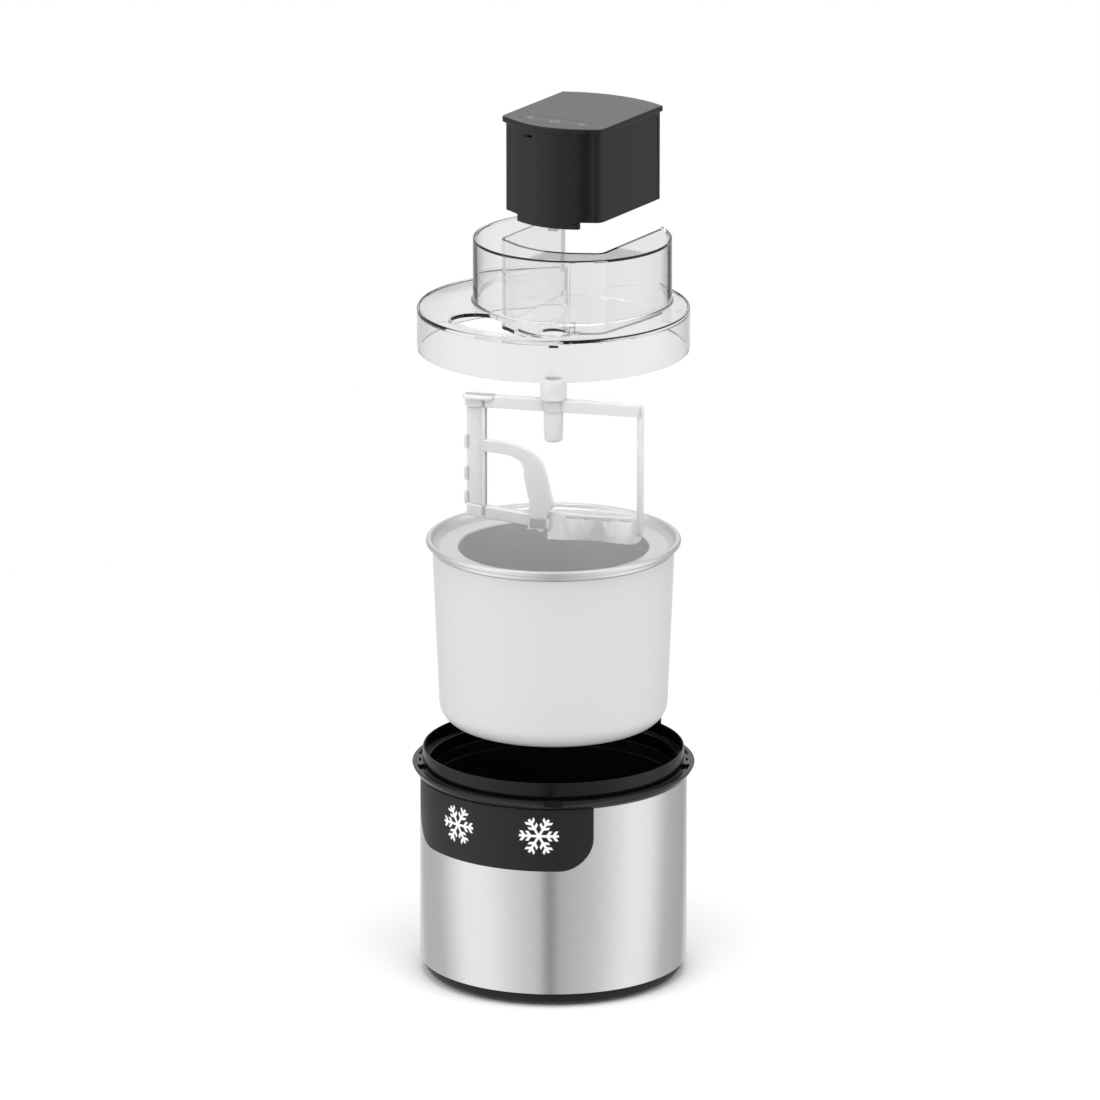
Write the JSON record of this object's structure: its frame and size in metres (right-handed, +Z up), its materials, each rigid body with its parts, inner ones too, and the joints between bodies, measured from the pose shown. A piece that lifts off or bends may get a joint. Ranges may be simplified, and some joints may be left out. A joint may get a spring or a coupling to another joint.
{
  "type": "ice cream maker",
  "caption": "Ice cream maker with a freezer bowl in a round steel housing, a turning paddle, a clear lid and a motor unit that sits in the lid, stored drawn apart on its axis.",
  "frame": {"origin": "centre of the underside, on the surface the feet stand on", "axes": "+Z up along the common axis of housing, bowl, paddle and lid; front towards -Y"},
  "size_m": [0.2112, 0.2112, 0.6533],
  "materials": {
    "brushed_steel": "vertical brushed satin",
    "gloss_black": "high gloss",
    "panel_black": "semi gloss",
    "matte_black": "fine texture",
    "rubber": "matte",
    "plain_steel": "plain bright steel",
    "satin_aluminium": "satin",
    "white_plastic": "smooth",
    "milky_plastic": "milky, smooth",
    "clear_plastic": "clear, polished",
    "gel": "coolant gel",
    "brass": "turned",
    "gear_plastic": "moulded",
    "copper_winding": "enamelled copper",
    "circuit_board": "solder mask",
    "component_plastic": "moulded"
  },
  "bodies": {
    "housing": {"base_tray": "matte_black", "rubber_foot_1": "rubber", "rubber_foot_2": "rubber", "rubber_foot_3": "rubber", "rubber_foot_4": "rubber", "base_screw_1": "plain_steel", "base_screw_2": "plain_steel", "base_screw_3": "plain_steel", "base_screw_4": "plain_steel", "steel_sleeve": "brushed_steel", "inner_tub": "matte_black", "top_ring": "gloss_black", "front_panel": "panel_black"},
    "bowl": {"bowl_shell": "white_plastic", "bowl_liner": "satin_aluminium", "coolant_gel": "gel", "bowl_seal": "rubber", "gel_fill_plug": "matte_black"},
    "bush": {"shaft_bush": "white_plastic"},
    "paddle_body": {"paddle": "milky_plastic"},
    "lid_body": {"lid": "clear_plastic"},
    "motor_unit": {"motor_housing": "gloss_black", "top_cover": "gloss_black", "touch_panel": "gloss_black", "bottom_plate": "matte_black", "case_screw_1": "plain_steel", "case_screw_2": "plain_steel", "case_screw_3": "plain_steel", "case_screw_4": "plain_steel", "output_bush": "brass", "cord_inlet": "rubber", "gear_plate": "plain_steel", "motor_can": "plain_steel", "motor_end_plate": "plain_steel", "stator_coil": "copper_winding", "control_board": "circuit_board", "power_board": "circuit_board", "mains_capacitor": "component_plastic", "relay": "component_plastic", "interlock_switch": "matte_black", "compound_axle": "plain_steel"},
    "rotor_body": {"rotor": "plain_steel"},
    "compound_body": {"compound_gear": "gear_plastic"},
    "output_body": {"output_gear": "gear_plastic"}
  },
  "joints": [
    {"name": "bowl_lift", "type": "slide", "parent": "housing", "child": "bowl", "axis": [0, 0, 1], "range_m": [-0.167, 0]},
    {"name": "paddle_lift", "type": "slide", "parent": "bowl", "child": "bush", "axis": [0, 0, 1], "range_m": [-0.1186, 0]},
    {"name": "paddle_spin", "type": "hinge", "parent": "bush", "child": "paddle_body", "pos_m": [0, 0, 0.45], "axis": [0, 0, 1], "continuous": true},
    {"name": "lid_lift", "type": "slide", "parent": "bush", "child": "lid_body", "axis": [0, 0, 1], "range_m": [-0.0354, 0]},
    {"name": "motor_lift", "type": "slide", "parent": "lid_body", "child": "motor_unit", "axis": [0, 0, 1], "range_m": [-0.0882, 0]},
    {"name": "output_spin", "type": "hinge", "parent": "motor_unit", "child": "output_body", "pos_m": [0, 0, 0.589], "axis": [0, 0, 1], "continuous": true},
    {"name": "compound_spin", "type": "hinge", "parent": "motor_unit", "child": "compound_body", "pos_m": [0, 0.017, 0.589], "axis": [0, 0, 1], "continuous": true},
    {"name": "rotor_spin", "type": "hinge", "parent": "motor_unit", "child": "rotor_body", "pos_m": [0, 0.042, 0.6], "axis": [0, 0, 1], "continuous": true}
  ],
  "couplings": [
    {"joint": "output_spin", "follows": "paddle_spin", "ratio": 1},
    {"joint": "compound_spin", "follows": "paddle_spin", "ratio": -1.8333},
    {"joint": "rotor_spin", "follows": "paddle_spin", "ratio": 7.3333}
  ]
}
